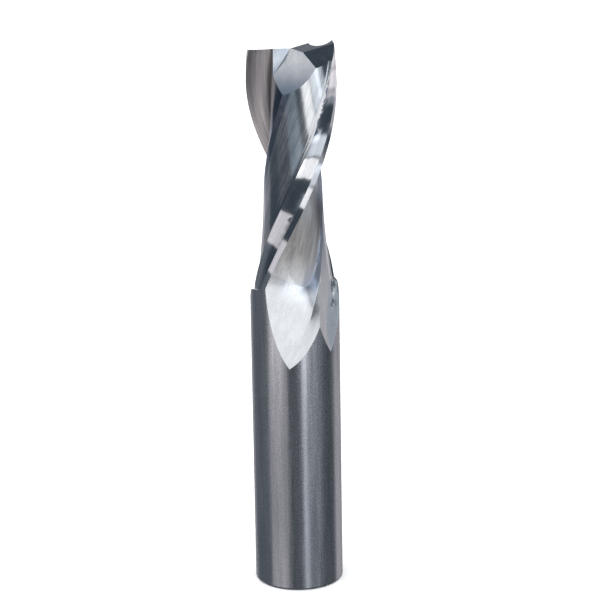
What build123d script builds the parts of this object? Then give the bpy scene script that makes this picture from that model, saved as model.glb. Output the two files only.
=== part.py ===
from build123d import *
import math
import os

# A two-flute spiral router bit, ground from one carbide rod.
#
# The bit stands on its shank: the origin is the middle of the shank's flat
# end and +Z runs up the axis to the cutting tip.  Azimuth is measured round
# +Z from -Y towards +X, the way the cutting edges climb the rod.

# Rod
rod_diameter = 12.0
overall_length = 75.0
foot_chamfer = 0.3

# Cutting part
flute_count = 2
cutting_length = 32.2          # from the step above the shank to the tip
helix_angle = 26.9             # of the cutting edges, from the axis
tip_edge_azimuth = -65.7       # first cutting edge, at the tip
tooth_angle = 29.8             # from a cutting edge back to its heel

# Grinding wheels that leave the flutes; a setting is the tilt of the wheel's
# plane from the axis
wheel_diameter = 52.0
wheel_setting = 27.4
clearing_wheel_diameter = 120.0
clearing_wheel_setting = 31.4

# Lands behind each cutting edge
primary_width = 0.88
primary_relief = 9.0
secondary_relief = 28.0

# Step at the lower end of the lands
step_fall = 14.0               # from the cutting edge towards the heel

# Tip
end_turn = 8.0                 # end edges ahead of the outer corner's radius
dish_angle = 6.6               # fall of each end edge towards the axis
end_land_width = 1.75
end_relief = 14.3
end_clearance = 32.0
gash_fall = 49.0               # fall of the gash's valley away from the axis
gash_floor_fall = 36.0         # fall of the gash's floor ahead of the valley

rod_radius = rod_diameter / 2

# Main pass of the wheel: the core and the floor of the flute.  A width is
# that of the wheel's face from its deepest line: the near one towards the
# tooth that the flute serves, the far one towards the next tooth's heel.
# A stop is the lowest place of the wheel's centre, below the tip.
core_radius = 0.643 * rod_radius
main_stop = cutting_length + 0.8
main_near_width = 0.75 * rod_radius
main_far_width = 0.5 * rod_radius
main_far_dressing = 0.82                   # widening of that side with its depth

# Rake pass: the hollow face under the cutting edge
rake_radius = 0.458 * rod_radius
rake_stop = 0.73 * cutting_length
rake_near_width = 0.053 * rod_radius
rake_far_width = 0.867 * rod_radius

# Clearing pass: behind the main pass, up to the next tooth's heel
clearing_radius = 0.664 * rod_radius
clearing_stop = cutting_length - 4.9
clearing_near_width = 0.15 * rod_radius
clearing_far_width = 1.02 * rod_radius
clearing_taper = 0.078                     # narrowing of its rim for each mm of width

tooth_pitch = 360 / flute_count
step_height = overall_length - cutting_length
cutter_top = overall_length + 2.0
twist_rate = math.tan(math.radians(helix_angle)) / rod_radius
twist = math.degrees(twist_rate)           # azimuth gained by an edge for each mm
end_rise = math.cos(math.radians(end_turn)) * math.tan(math.radians(dish_angle))
corner_fall = math.sin(math.radians(end_turn)) * math.tan(math.radians(end_relief))
end_dish = rod_radius * (end_rise - corner_fall)    # depth of the tip at the axis
rake_stock = 0.3                           # azimuth the main pass leaves for the rake pass
relief_lead = 0.5                          # azimuth the primary land reaches past the edge

# Reach of the cutters outside the rod
outside = 8 * rod_radius                   # a flute cutter's outer side
spread = 40.0                              # half the angle it opens to out there
end_reach = 1.5 * rod_radius               # end cutters, either way from the axis
step_reach = 0.5 * rod_radius              # relief cutter, below the step at its edge
before_edge = 0.1 * rod_radius             # relief cutter, ahead of the edge
behind_heel = 0.75 * rod_radius            # relief cutter, behind the primary land

# How finely the flutes are followed
section_pitch = 1.8                        # height between two sections
run_out_pitch = 1.0                        # the same, below the wheel's stop
floor_points = 13
wall_points = 5
halvings = 40                              # of the search for a corner's way out
side_reach = 1.1 * rod_radius              # trace of a wheel's side outside the rod
rim_share = 0.97                           # of the wheel's radius, still on the rim
dressed_depth = 0.6 * rod_radius           # depth of a dressed side
square_reach = 1.2 * rod_radius            # trace of a square side
side_drop = 0.6                            # how fast a stopped trace climbs the side


def edge_azimuth(height):
    """Azimuth of the first cutting edge's helix at a height."""
    return tip_edge_azimuth - (overall_length - height) * twist


def polar(radius, azimuth, height):
    angle = math.radians(azimuth)
    return Vector(radius * math.sin(angle), -radius * math.cos(angle), height)


def even_spline(points):
    """Spline whose points have even parameters, so that stacked ones match."""
    last = len(points) - 1
    return Edge.make_spline(points, parameters=[i / last for i in range(last + 1)])


class Pass:
    """One run of the wheel up the helix, seen as what it clears at a height.

    On the wheel, along is the distance from the deepest line in the wheel's
    own plane, and across is the distance from it over the wheel's width.
    """

    def __init__(self, depth, stop, near, far, dressing=0.0, taper=0.0):
        self.depth = depth
        self.stop_height = overall_length - stop
        self.near = near
        self.far = far
        self.dressing = dressing
        self.taper = taper
        self.lead = 0.0
        self.use_wheel(wheel_diameter, wheel_setting)

    def use_wheel(self, diameter, setting):
        self.wheel_radius = diameter / 2
        self.cos_tilt = math.cos(math.radians(setting))
        self.sin_tilt = math.sin(math.radians(setting))
        self.rim_limit = rim_share * self.wheel_radius

    def from_edge(self, stock=0.0):
        """Turn the pass so that its near side meets the rod at the cutting edge."""
        self.lead = stock - self.leaving_azimuth(-self.near, -self.rim_limit)
        return self

    def to_heel(self):
        """Turn the pass so that its far side meets the rod at the next heel."""
        self.lead = tooth_pitch - tooth_angle - self.leaving_azimuth(self.far, self.rim_limit)
        return self

    def place(self, along, across, drop=0.0):
        """Radius of a point of the wheel, and its azimuth ahead of the wheel's helix."""
        rim = self.wheel_radius - drop
        inward = self.depth + self.wheel_radius - math.sqrt(rim ** 2 - along ** 2)
        side = across * self.cos_tilt + along * self.sin_tilt
        rise = along * self.cos_tilt - across * self.sin_tilt
        return math.hypot(side, inward), math.degrees(math.atan2(side, inward)) - rise * twist

    def leaving_azimuth(self, across, furthest):
        """Where the trace of a corner of the wheel comes out of the rod."""
        within = self.contact(across, self.taper)
        beyond = furthest
        for _ in range(halvings):
            middle = (within + beyond) / 2
            radius, azimuth = self.place(middle, across, self.taper * across)
            if radius < rod_radius:
                within = middle
            else:
                beyond = middle
        return azimuth

    def lowest_along(self, height, across):
        """Largest along at this height: the wheel never stands below its stop."""
        return (height - self.stop_height + across * self.sin_tilt) / self.cos_tilt

    def contact(self, across, slope):
        """Where a rim that drops by slope touches the finished flute."""
        lift = self.cos_tilt + twist_rate * self.depth * self.sin_tilt
        slide = self.sin_tilt - twist_rate * self.depth * self.cos_tilt
        turn = twist_rate * across * self.cos_tilt
        return (slope * slide - turn) / (lift / self.wheel_radius + twist_rate * self.sin_tilt)

    def rim_point(self, height, along, across, drop=0.0):
        """Point on the wheel, drop below its rim, that passes this height."""
        radius, azimuth = self.place(along, across, drop)
        return polar(radius, edge_azimuth(height) + self.lead + azimuth, height)

    def floor(self, height):
        points = []
        for i in range(floor_points):
            across = -self.near + (self.near + self.far) * i / (floor_points - 1)
            along = min(self.contact(across, self.taper), self.lowest_along(height, across))
            points.append(self.rim_point(height, along, across, self.taper * across))
        return points

    def near_wall(self, height):
        """Trace of the wheel's near corner, from the floor outwards."""
        across = -self.near
        start = min(self.contact(across, self.taper), self.lowest_along(height, across))
        end = max(start - side_reach - self.depth, -self.rim_limit)
        step = (start - end) / (wall_points - 1)
        drop = self.taper * across
        return [self.rim_point(height, start - i * step, across, drop) for i in range(wall_points)]

    def far_wall(self, height):
        """Side of the wheel, dressed to a slope or square, from the floor outwards."""
        points = []
        for i in range(wall_points):
            if self.dressing:
                drop = dressed_depth * i / (wall_points - 1)
                across = self.far + self.dressing * drop
                along = min(
                    self.contact(across, 1 / self.dressing if i else self.taper),
                    self.lowest_along(height, across),
                )
            else:
                across = self.far
                lowest = self.lowest_along(height, across)
                trace = square_reach * i / (wall_points - 1)
                wanted = min(self.contact(across, self.taper), lowest) + trace
                along = min(wanted, lowest)
                drop = self.taper * across + side_drop * (wanted - along)
            points.append(self.rim_point(height, along, across, drop))
        return points

    def section(self, height):
        floor = self.floor(height)
        near = self.near_wall(height)
        far = self.far_wall(height)
        middle = edge_azimuth(max(height, self.stop_height)) + self.lead
        far_out = polar(outside, middle + spread, height)
        near_out = polar(outside, middle - spread, height)
        return Wire([
            even_spline(list(reversed(near))),
            even_spline(floor),
            even_spline(far),
            Edge.make_line(far[-1], far_out),
            Edge.make_line(far_out, near_out),
            Edge.make_line(near_out, near[-1]),
        ])

    def cutter(self):
        run_out = math.sqrt(2 * self.wheel_radius * (rod_radius - self.depth))
        bottom = self.stop_height - run_out
        low_count = math.ceil(run_out / run_out_pitch)
        high_count = math.ceil((cutter_top - self.stop_height) / section_pitch)
        high_pitch = (cutter_top - self.stop_height) / high_count
        heights = [bottom + run_out * i / low_count for i in range(low_count)]
        heights += [self.stop_height + high_pitch * i for i in range(high_count + 1)]
        return Solid.make_loft([self.section(height) for height in heights])


def relief_cutter():
    """What lies outside the two lands, from the step to above the tip."""
    def along(start, angle, length):
        fall = math.radians(angle)
        return start + Vector(-length * math.cos(fall), length * math.sin(fall), 0)

    edge = Vector(0, -rod_radius, 0)
    first = along(edge, primary_relief, -before_edge)
    between = along(edge, primary_relief, primary_width)
    last = along(between, secondary_relief, behind_heel)
    outline = Polyline(first, between, last, last * 2, edge * 2, close=True)
    bottom = step_height - step_reach
    start = edge_azimuth(bottom) + relief_lead
    profile = Pos(0, 0, bottom) * Rot(0, 0, start) * make_face(outline)
    height = cutter_top - bottom
    lands = Solid.extrude_linear_with_rotation(
        profile.face(), (0, 0, bottom), (0, 0, height), height * twist
    )
    turn = edge_azimuth(step_height)
    step = Pos(0, 0, step_height) * Rot(0, 0, turn) * Rot(0, -step_fall, 0)
    below = Box(outside, outside, outside, align=(Align.CENTER, Align.CENTER, Align.MAX))
    return lands - step * below


def end_prism(outline, rise):
    """Prism along a line through the axis that climbs at an angle on its way out.

    The outline's points are (ahead of the line, above the line).
    """
    out = polar(1, tip_edge_azimuth + end_turn, 0)
    climb = Vector(0, 0, math.tan(math.radians(rise)))
    start = Vector(0, 0, overall_length - end_dish) - (out + climb) * end_reach
    frame = Plane(start, x_dir=out.rotate(Axis.Z, 90), z_dir=out)
    section = frame * make_face(Polyline(*outline, close=True))
    return Solid.extrude(section.face(), (out + climb) * 2 * end_reach)


def end_relief_cutter():
    """What lies above the end land and the clearance behind it."""
    land_fall = end_land_width * math.tan(math.radians(end_relief))
    back_fall = (end_reach - end_land_width) * math.tan(math.radians(end_clearance))
    outline = [
        (0, 0),
        (-end_land_width, -land_fall),
        (-end_reach, -land_fall - back_fall),
        (-end_reach, end_reach),
        (0, end_reach),
    ]
    return end_prism(outline, dish_angle)


def gash_cutter():
    """Notch ahead of the inner end edge, from the axis out into the flute."""
    floor_fall = end_reach * math.tan(math.radians(gash_floor_fall))
    outline = [(0, 0), (end_reach, -floor_fall), (end_reach, end_reach), (0, end_reach)]
    return end_prism(outline, -gash_fall)


def turned(shape):
    """The shape repeated once for each flute."""
    return [shape.rotate(Axis.Z, 360 / flute_count * i) for i in range(flute_count)]


def rod():
    blank = Cylinder(rod_radius, overall_length, align=(Align.CENTER, Align.CENTER, Align.MIN))
    return chamfer(blank.edges().sort_by(Axis.Z)[0], foot_chamfer)


def main():
    main_pass = Pass(core_radius, main_stop, main_near_width, main_far_width, main_far_dressing)
    clearing_pass = Pass(
        clearing_radius, clearing_stop, clearing_near_width, clearing_far_width, taper=clearing_taper
    )
    clearing_pass.use_wheel(clearing_wheel_diameter, clearing_wheel_setting)
    rake_pass = Pass(rake_radius, rake_stop, rake_near_width, rake_far_width)
    cutters = [
        main_pass.from_edge(rake_stock).cutter(),
        clearing_pass.to_heel().cutter(),
        rake_pass.from_edge().cutter(),
        relief_cutter(),
        end_relief_cutter(),
        gash_cutter(),
    ]
    bit = rod()
    for cutter in cutters:
        for copy in turned(cutter):
            bit -= copy
    os.makedirs("parts", exist_ok=True)
    export_step(bit, "parts/router_bit.step")


main()
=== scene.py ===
from collections import namedtuple
import math

import bpy
from mathutils import Matrix, Vector

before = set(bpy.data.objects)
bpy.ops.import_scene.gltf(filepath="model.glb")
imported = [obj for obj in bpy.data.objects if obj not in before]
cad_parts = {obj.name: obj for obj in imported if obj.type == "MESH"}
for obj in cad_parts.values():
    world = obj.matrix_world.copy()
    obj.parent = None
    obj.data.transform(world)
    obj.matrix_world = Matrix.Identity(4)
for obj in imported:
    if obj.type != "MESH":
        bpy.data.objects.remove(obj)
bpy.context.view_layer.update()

# Camera, fitted to the outline of the bit in the photograph (metres, radians)
camera_place = Vector((0.0, -0.38344, 0.16397))
camera_pitch = 0.3131          # below the horizon
camera_roll = -0.0164
camera_yaw = 0.0018
camera_lens = 179.69           # millimetres
sensor_width = 36.0            # millimetres
camera_reach = (0.01, 10.0)

# The bit: metres and degrees.  The edges' azimuths go round +Z from -Y
# towards +X; edge_at_foot is where a cutting edge would reach the foot.
rod_radius = 0.006
surface_slack = 0.00003        # facets lie this little inside the true cylinder
overall_length = 0.075
shank_top = 0.0431             # just above the step at the end of the lands
foot_top = 0.0004              # just above the chamfer of the foot
helix_angle = 26.9
tip_edge_azimuth = -65.7
edge_twist = math.tan(math.radians(helix_angle)) / rod_radius   # radians per metre
edge_at_foot = tip_edge_azimuth - math.degrees(edge_twist * overall_length)
land_inside = 0.0053           # lands lie outside this radius
land_outward = 0.9             # and face outwards at least this squarely
gash_bottom = 0.064            # faces of the tip lie above this height
gash_azimuth = -57.7           # the way the gash walls face, round from +X
gash_square = 0.999            # and how squarely, at least
tip_upward = 0.4               # the tip's other faces face up more than this

# Satin of the hollow rake face, which is ground coarser than the rest.  It
# lies beside the cutting edge, and low down also within rake_radius of the
# axis.  It fades in or out between each pair of values.
rake_bottom = 0.0410
satin_fade_in = (0.0, 0.007)   # above rake_bottom
hollow_fade_out = (0.009, 0.017)    # above rake_bottom
rake_radius = (0.00380, 0.00392)
satin_behind = (-24.0, -20.0)  # degrees ahead of the cutting edge
satin_ahead = (18.0, 26.0)
satin_bright = (0.50, 0.48, 0.47)
satin_dull = (0.27, 0.26, 0.26)
satin_roughness = 0.22         # on top of the flute's own

# Painted shade on the flute's far wall: a darker, bluer colour that stands in
# for the dark reflection seen there.  It fades in between these degrees
# ahead of the cutting edge, and between these heights.
far_wall_shade_ahead = (50.0, 62.0)
far_wall_shade_bottom = (shank_top - 0.002, shank_top)
far_wall_painted_shade = (0.37, 0.41, 0.50)

# The marks are weaker where the flutes run out into the shank
run_out_top = 0.008            # above rake_bottom
run_out_marks = 0.4            # share of the contrast that is kept
run_out_shine = 0.34           # share of the bright colour that is added

# The gash floor darkens downwards, between these heights
gash_shade_top = 0.0735
gash_shade_bottom = 0.0692
gash_shade = (0.22, 0.27, 0.35)

# Marks of grinding that all finishes share
streak_range = (0.7, 1.35)     # sum of the marks that is dull, and that is bright
speckle_scale = 5000.0         # repeats per metre
broad_across = 1 / 7           # repeats of the broad bands, for each fine mark
broad_along = 1 / 2
broad_relief = 0.8             # depth of the broad bands, against the fine marks

# Colours of the light
white = (1.0, 1.0, 1.0)
cool = (0.88, 0.94, 1.0)
blue = (0.72, 0.86, 1.0)
warm = (1.0, 0.95, 0.98)

# Studio seen in the ground faces.  Far cards are soft patches of the world,
# in degrees as seen from the bit; azimuth goes round +Z from -Y towards +X.
dim_room = (0.042, 0.056, 0.071)    # between the cards
FarCard = namedtuple("FarCard", "azimuth elevation half_width half_height softness strength tint")
far_cards = [
    FarCard(0, -70, 130, 28, 10, 0.62, warm),     # pale table, far round
    FarCard(0, -62, 55, 20, 12, 0.78, warm),      # pale table, in front
    FarCard(40, -24, 100, 8, 4, 0.04, warm),      # the table's dim edge
    FarCard(-50, -27, 25, 9, 2, 0.46, warm),      # low card, left
    FarCard(23, -21, 6, 7, 2, 0.95, cool),        # low strip, right of the camera
    FarCard(52, 2, 13, 16, 3, 0.8, cool),         # upright card, right
    FarCard(46, -22, 14, 11, 4, 0.12, cool),      # the dim foot of that card
    FarCard(62, -13, 6, 3, 2, 0.45, cool),        # its bright lower corner
    FarCard(107, -5, 6, 7, 3, 0.26, cool),        # narrow card, far right
    FarCard(134, -7, 24, 8, 2, 0.42, warm),       # backdrop, right
    FarCard(130, -24, 15, 7, 3, 0.4, warm),       # foot of that backdrop
    FarCard(-112, -20, 40, 8, 3, 0.1, cool),      # backdrop, left
    FarCard(180, -14, 34, 14, 5, 0.35, warm),     # backdrop, behind
    FarCard(-156, 6, 12, 15, 4, 0.5, white),      # upright card, behind
    FarCard(-8, 19, 17, 14, 3, 0.9, white),       # card above the camera
    FarCard(-42, 27, 18, 8, 4, 0.9, white),       # card above, left
    FarCard(2, 45, 32, 8, 4, 0.5, cool),          # high card, in front
    FarCard(-80, 36, 18, 18, 6, 0.95, white),     # high card, left
    FarCard(-50, 42, 10, 6, 4, 0.4, cool),        # high card, between those two
    FarCard(178, 43, 36, 13, 5, 0.12, warm),      # backdrop, high
]

# Near cards stand close by, so that each height of the bit sees them
# differently.  Azimuth and lean are in degrees, the rest in metres.
NearCard = namedtuple("NearCard", "name azimuth distance width bottom top lean strength tint")
near_cards = [
    NearCard("low left", -51.5, 0.08, 0.0625, 0.006, 0.0462, 7, 0.66, warm),
    NearCard("in front", -22, 0.1, 0.06, 0.055, 0.066, 0, 0.34, blue),
    NearCard("right of the camera", 24, 0.1, 0.0425, 0.005, 0.11, 0, 1.0, white),
    NearCard("right, high", 66.5, 0.1, 0.041, 0.0625, 0.1, 0, 0.6, cool),
    NearCard("right, middle", 64, 0.1, 0.022, 0.0435, 0.0505, 0, 0.45, cool),
    NearCard("right, low", 88, 0.1, 0.075, 0.018, 0.041, 0, 0.38, warm),
    NearCard("behind, right", 128, 0.1, 0.036, 0.047, 0.075, 0, 0.42, warm),
    NearCard("behind, left", -149, 0.1, 0.16, 0.025, 0.044, 0, 0.14, warm),
]

# Floor and the soft light over it
floor_half = 3.0
floor_colour = (0.9, 0.9, 0.9)
floor_roughness = 0.9
overhead_height = 1.2
overhead_aim = 0.02
overhead_size = 1.6
overhead_power = 34.0          # watts


def remove_default_objects():
    for name in ("Cube", "Light", "Camera"):
        thing = bpy.data.objects.get(name)
        if thing:
            bpy.data.objects.remove(thing)


def add_object(name, data):
    thing = bpy.data.objects.new(name, data)
    bpy.context.scene.collection.objects.link(thing)
    return thing


def camera_axes():
    """Right, up and backward axes of the camera in the row frame."""
    forward = Vector((
        math.sin(camera_yaw) * math.cos(camera_pitch),
        math.cos(camera_yaw) * math.cos(camera_pitch),
        -math.sin(camera_pitch),
    ))
    right = Vector((math.cos(camera_yaw), -math.sin(camera_yaw), 0))
    up = right.cross(forward)
    turned_right = math.cos(camera_roll) * right + math.sin(camera_roll) * up
    turned_up = math.cos(camera_roll) * up - math.sin(camera_roll) * right
    return turned_right, turned_up, -forward


def make_camera():
    data = bpy.data.cameras.new("camera")
    data.lens = camera_lens
    data.sensor_width = sensor_width
    data.clip_start, data.clip_end = camera_reach
    camera = add_object("camera", data)
    right, up, back = camera_axes()
    camera.matrix_world = Matrix((
        (right.x, up.x, back.x, camera_place.x),
        (right.y, up.y, back.y, camera_place.y),
        (right.z, up.z, back.z, camera_place.z),
        (0, 0, 0, 1),
    ))
    bpy.context.scene.camera = camera


class Graph:
    """Short ways to add and join shader nodes."""

    def __init__(self, tree):
        self.tree = tree

    def node(self, kind, **settings):
        new = self.tree.nodes.new(kind)
        for name, value in settings.items():
            setattr(new, name, value)
        return new

    def feed(self, socket, value):
        if isinstance(value, bpy.types.NodeSocket):
            self.tree.links.new(value, socket)
        else:
            socket.default_value = value

    def math(self, operation, *values):
        new = self.node("ShaderNodeMath", operation=operation)
        for i, value in enumerate(values):
            self.feed(new.inputs[i], value)
        return new.outputs[0]

    def vector(self, operation, *values):
        new = self.node("ShaderNodeVectorMath", operation=operation)
        for i, value in enumerate(values):
            self.feed(new.inputs[i], value)
        return new.outputs[0]

    def scale(self, vector, factor):
        new = self.node("ShaderNodeVectorMath", operation="SCALE")
        self.feed(new.inputs[0], vector)
        self.feed(new.inputs["Scale"], factor)
        return new.outputs[0]

    def length(self, vector):
        new = self.node("ShaderNodeVectorMath", operation="LENGTH")
        self.feed(new.inputs[0], vector)
        return new.outputs["Value"]

    def split(self, vector):
        """The x, y and z of a vector."""
        new = self.node("ShaderNodeSeparateXYZ")
        self.feed(new.inputs[0], vector)
        return new.outputs[0], new.outputs[1], new.outputs[2]

    def turn(self, vector, angle):
        """A vector turned round +Z, by radians."""
        new = self.node("ShaderNodeVectorRotate", rotation_type="Z_AXIS")
        self.feed(new.inputs["Vector"], vector)
        self.feed(new.inputs["Angle"], angle)
        return new.outputs[0]

    def azimuth(self, x, y):
        """Radians round +Z from -Y towards +X."""
        return self.math("ARCTAN2", x, self.math("MULTIPLY", y, -1.0))

    def smooth(self, value, low, high):
        """0 at low and 1 at high, eased in between."""
        new = self.node("ShaderNodeMapRange", interpolation_type="SMOOTHSTEP")
        self.feed(new.inputs["Value"], value)
        self.feed(new.inputs["From Min"], low)
        self.feed(new.inputs["From Max"], high)
        return new.outputs[0]

    def spread(self, value, low, high):
        """Stretch 0..1 over low..high."""
        new = self.node("ShaderNodeMapRange")
        self.feed(new.inputs["Value"], value)
        self.feed(new.inputs["To Min"], low)
        self.feed(new.inputs["To Max"], high)
        return new.outputs[0]

    def noise(self, vector, detail=2.0, roughness=0.5):
        new = self.node("ShaderNodeTexNoise")
        self.feed(new.inputs["Vector"], vector)
        self.feed(new.inputs["Scale"], 1.0)
        self.feed(new.inputs["Detail"], detail)
        self.feed(new.inputs["Roughness"], roughness)
        return new.outputs[0]

    def mix(self, share, first, second):
        new = self.node("ShaderNodeMix", data_type="RGBA")
        self.feed(new.inputs["Factor"], share)
        self.feed(new.inputs[6], first)
        self.feed(new.inputs[7], second)
        return new.outputs[2]


def opaque(colour):
    return (*colour, 1.0)


def patch(graph, angle, middle, half, softness):
    """1 near middle and 0 beyond half, faded over softness to either side.

    The angle is in radians, the rest in degrees.
    """
    off = graph.math("SUBTRACT", angle, math.radians(middle))
    off = graph.math("WRAP", off, math.pi, -math.pi)
    off = graph.math("ABSOLUTE", off)
    return graph.smooth(off, math.radians(half + softness), math.radians(half - softness))


def make_world():
    world = bpy.data.worlds.new("studio")
    world.use_nodes = True
    graph = Graph(world.node_tree)
    x, y, z = graph.split(graph.node("ShaderNodeTexCoord").outputs["Generated"])
    azimuth = graph.azimuth(x, y)
    elevation = graph.math("ARCSINE", z)
    light = dim_room
    for card in far_cards:
        across = patch(graph, azimuth, card.azimuth, card.half_width, card.softness)
        along = patch(graph, elevation, card.elevation, card.half_height, card.softness)
        glow = tuple(card.strength * part for part in card.tint)
        light = graph.vector("ADD", light, graph.scale(glow, graph.math("MULTIPLY", across, along)))
    graph.feed(world.node_tree.nodes["Background"].inputs["Color"], light)
    bpy.context.scene.world = world


def make_floor():
    """Pale floor, left out of the reflections in the bit."""
    corners = [(-floor_half, -floor_half, 0), (floor_half, -floor_half, 0)]
    corners += [(floor_half, floor_half, 0), (-floor_half, floor_half, 0)]
    data = bpy.data.meshes.new("floor")
    data.from_pydata(corners, [], [(0, 1, 2, 3)])
    material = bpy.data.materials.new("floor")
    material.use_nodes = True
    shader = material.node_tree.nodes["Principled BSDF"]
    shader.inputs["Base Color"].default_value = opaque(floor_colour)
    shader.inputs["Roughness"].default_value = floor_roughness
    data.materials.append(material)
    floor = add_object("floor", data)
    floor.visible_glossy = False


def make_overhead():
    """Soft light for the floor, left out of the reflections in the bit."""
    data = bpy.data.lights.new("top", "AREA")
    data.shape = "SQUARE"
    data.size = overhead_size
    data.energy = overhead_power
    light = add_object("top", data)
    place = Vector((0, 0, overhead_height))
    aim = Vector((0, 0, overhead_aim))
    light.location = place
    light.rotation_euler = (place - aim).to_track_quat("Z", "Y").to_euler()
    light.visible_glossy = False


def make_near_card(card):
    """Upright card beside the bit, seen only in its reflections."""
    azimuth = math.radians(card.azimuth)
    out = Vector((math.sin(azimuth), -math.cos(azimuth), 0))
    height = card.top - card.bottom
    data = bpy.data.lights.new(card.name, "AREA")
    data.shape = "RECTANGLE"
    data.size = card.width
    data.size_y = height
    data.energy = card.strength * math.pi * card.width * height
    data.color = card.tint
    light = add_object(card.name, data)
    light.location = out * card.distance + Vector((0, 0, (card.bottom + card.top) / 2))
    facing = out.to_track_quat("Z", "Y").to_matrix()
    lean = Matrix.Rotation(math.radians(card.lean), 3, out)
    light.rotation_euler = (lean @ facing).to_euler()
    light.visible_camera = False
    light.visible_diffuse = False


def ahead_of_edge(graph, straight):
    """Radians round the axis from the nearer cutting edge, untwisted."""
    x, y, _ = graph.split(graph.turn(straight, -math.radians(edge_at_foot)))
    return graph.math("WRAP", graph.azimuth(x, y), math.pi / 2, -math.pi / 2)


def satin_share(graph, ahead, radius, height):
    """1 on the hollow rake face down to its run-out, 0 elsewhere."""
    hollow = graph.smooth(radius, rake_radius[1], rake_radius[0])
    low = graph.smooth(height, rake_bottom + hollow_fade_out[1], rake_bottom + hollow_fade_out[0])
    by_edge = graph.math(
        "MULTIPLY",
        graph.smooth(ahead, math.radians(satin_ahead[1]), math.radians(satin_ahead[0])),
        graph.smooth(ahead, math.radians(satin_behind[0]), math.radians(satin_behind[1])),
    )
    satin = graph.math("MAXIMUM", graph.math("MULTIPLY", hollow, low), by_edge)
    above = graph.smooth(height, rake_bottom + satin_fade_in[0], rake_bottom + satin_fade_in[1])
    return graph.math("MULTIPLY", satin, above)


def far_wall_shade_share(graph, ahead, height):
    """1 on the flute's wall across from the cutting edge, where shade is painted."""
    across = graph.smooth(ahead, math.radians(far_wall_shade_ahead[0]), math.radians(far_wall_shade_ahead[1]))
    return graph.math("MULTIPLY", across, graph.smooth(height, *far_wall_shade_bottom))


def ground_material(
    name, fine, long, twist, bright, dull, roughness, relief, grain, hollow=False, shaded=False
):
    """Ground carbide: fine marks that run along z, or along a helix with twist.

    fine and long are repeats per metre across and along the marks, relief is
    their depth in metres, and grain is how much speckle shows between them.
    hollow adds the flute's satin, the painted shade of its far wall and the
    run-out, shaded the gash's shade.
    """
    material = bpy.data.materials.new(name)
    material.use_nodes = True
    graph = Graph(material.node_tree)
    shader = material.node_tree.nodes["Principled BSDF"]
    place = graph.node("ShaderNodeTexCoord").outputs["Object"]
    height = graph.split(place)[2]
    straight = graph.turn(place, graph.math("MULTIPLY", height, -twist))

    lines = graph.vector("MULTIPLY", straight, (fine, fine, long))
    marks = graph.noise(lines, detail=3.0, roughness=0.6)
    bands = (fine * broad_across, fine * broad_across, long * broad_along)
    broad = graph.noise(graph.vector("MULTIPLY", straight, bands))
    speckle = graph.noise(graph.vector("MULTIPLY", place, (speckle_scale,) * 3), detail=3.0)
    streaks = graph.math("ADD", graph.math("MULTIPLY", speckle, grain), graph.math("ADD", marks, broad))
    shine = graph.smooth(streaks, streak_range[0] + grain / 2, streak_range[1] + grain / 2)
    worn = graph.math("ADD", graph.math("MULTIPLY", marks, 0.5), graph.math("MULTIPLY", speckle, 0.5))
    rough = graph.spread(worn, *roughness)

    if hollow:
        run_out = graph.smooth(height, rake_bottom + run_out_top, rake_bottom)
        kept = graph.spread(run_out, 1.0, run_out_marks)
        shine = graph.math("MULTIPLY_ADD", shine, kept, graph.math("MULTIPLY", run_out, run_out_shine))
    colour = graph.mix(shine, opaque(dull), opaque(bright))
    if hollow:
        ahead = ahead_of_edge(graph, straight)
        radius = graph.length(graph.vector("MULTIPLY", straight, (1.0, 1.0, 0.0)))
        satin = satin_share(graph, ahead, radius, height)
        satin_colour = graph.mix(shine, opaque(satin_dull), opaque(satin_bright))
        # painted shade: darker, bluer colour on the flute's far wall, for its dark reflection
        colour = graph.mix(far_wall_shade_share(graph, ahead, height), colour, opaque(far_wall_painted_shade))
        colour = graph.mix(satin, colour, satin_colour)
        rough = graph.math("ADD", rough, graph.math("MULTIPLY", satin, satin_roughness))
    if shaded:
        low = graph.smooth(height, gash_shade_top, gash_shade_bottom)
        colour = graph.mix(low, colour, opaque(gash_shade))

    surface = graph.math("ADD", marks, graph.math("MULTIPLY", broad, broad_relief))
    surface = graph.math("ADD", surface, graph.math("MULTIPLY", speckle, 2 * grain))
    bump = graph.node("ShaderNodeBump")
    graph.feed(bump.inputs["Strength"], 1.0)
    graph.feed(bump.inputs["Distance"], relief)
    graph.feed(bump.inputs["Height"], surface)
    graph.feed(shader.inputs["Base Color"], colour)
    graph.feed(shader.inputs["Metallic"], 1.0)
    graph.feed(shader.inputs["Roughness"], rough)
    graph.feed(shader.inputs["Normal"], bump.outputs[0])
    return material


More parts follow.
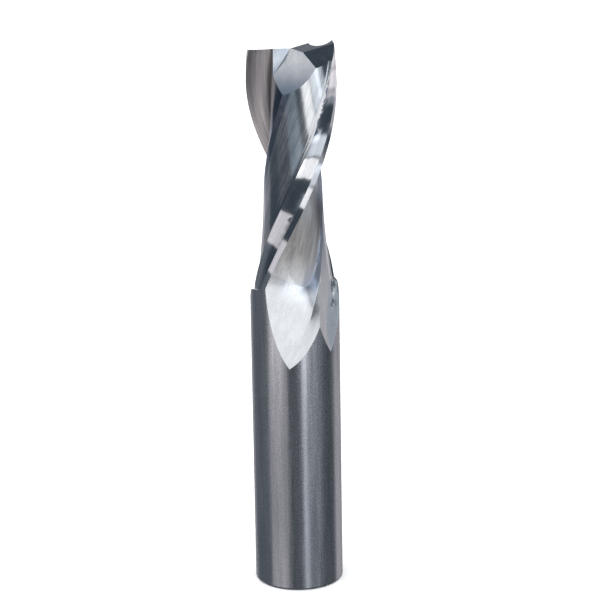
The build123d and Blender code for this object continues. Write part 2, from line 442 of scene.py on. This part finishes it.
def flute_finish():
    return ground_material(
        "flutes", fine=7000.0, long=160.0, twist=edge_twist, bright=(0.93, 0.93, 0.94),
        dull=(0.60, 0.63, 0.67), roughness=(0.1, 0.28), relief=0.0000018, grain=0.3, hollow=True,
    )


def shank_finish():
    return ground_material(
        "shank", fine=9000.0, long=130.0, twist=0.0, bright=(0.76, 0.75, 0.78),
        dull=(0.50, 0.51, 0.54), roughness=(0.18, 0.34), relief=0.0000016, grain=1.0,
    )


def land_finish():
    return ground_material(
        "lands", fine=7000.0, long=160.0, twist=edge_twist, bright=(0.86, 0.86, 0.88),
        dull=(0.70, 0.70, 0.73), roughness=(0.04, 0.18), relief=0.0000007, grain=0.5,
    )


def tip_finish():
    return ground_material(
        "tip", fine=6000.0, long=700.0, twist=0.0, bright=(0.95, 0.96, 0.98),
        dull=(0.76, 0.78, 0.83), roughness=(0.1, 0.3), relief=0.000002, grain=0.2, shaded=True,
    )


def kind_of_face(face, mesh):
    """Which ground surface a facet of the bit belongs to."""
    corners = [mesh.vertices[i].co for i in face.vertices]
    middle = face.center
    outward = Vector((middle.x, middle.y, 0)).normalized().dot(face.normal)
    gash = math.radians(gash_azimuth)
    along_gash = abs(face.normal.dot(Vector((math.cos(gash), math.sin(gash), 0))))
    cylinder = rod_radius - surface_slack
    on_rod = all(math.hypot(p.x, p.y) > cylinder and p.z < shank_top for p in corners)
    if on_rod or middle.z < foot_top:
        return "shank"
    if middle.z > gash_bottom and (face.normal.z > tip_upward or along_gash > gash_square):
        return "tip"
    if outward > land_outward and math.hypot(middle.x, middle.y) > land_inside:
        return "lands"
    return "flutes"


def paint_bit():
    """One finish for each kind of ground surface."""
    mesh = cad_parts["router_bit"].data
    mesh.materials.clear()
    places = {}
    for finish in (flute_finish(), shank_finish(), land_finish(), tip_finish()):
        places[finish.name] = len(mesh.materials)
        mesh.materials.append(finish)
    for face in mesh.polygons:
        face.material_index = places[kind_of_face(face, mesh)]


remove_default_objects()
make_camera()
make_world()
make_floor()
make_overhead()
for near in near_cards:
    make_near_card(near)
paint_bit()
bpy.context.scene.view_settings.view_transform = "Standard"
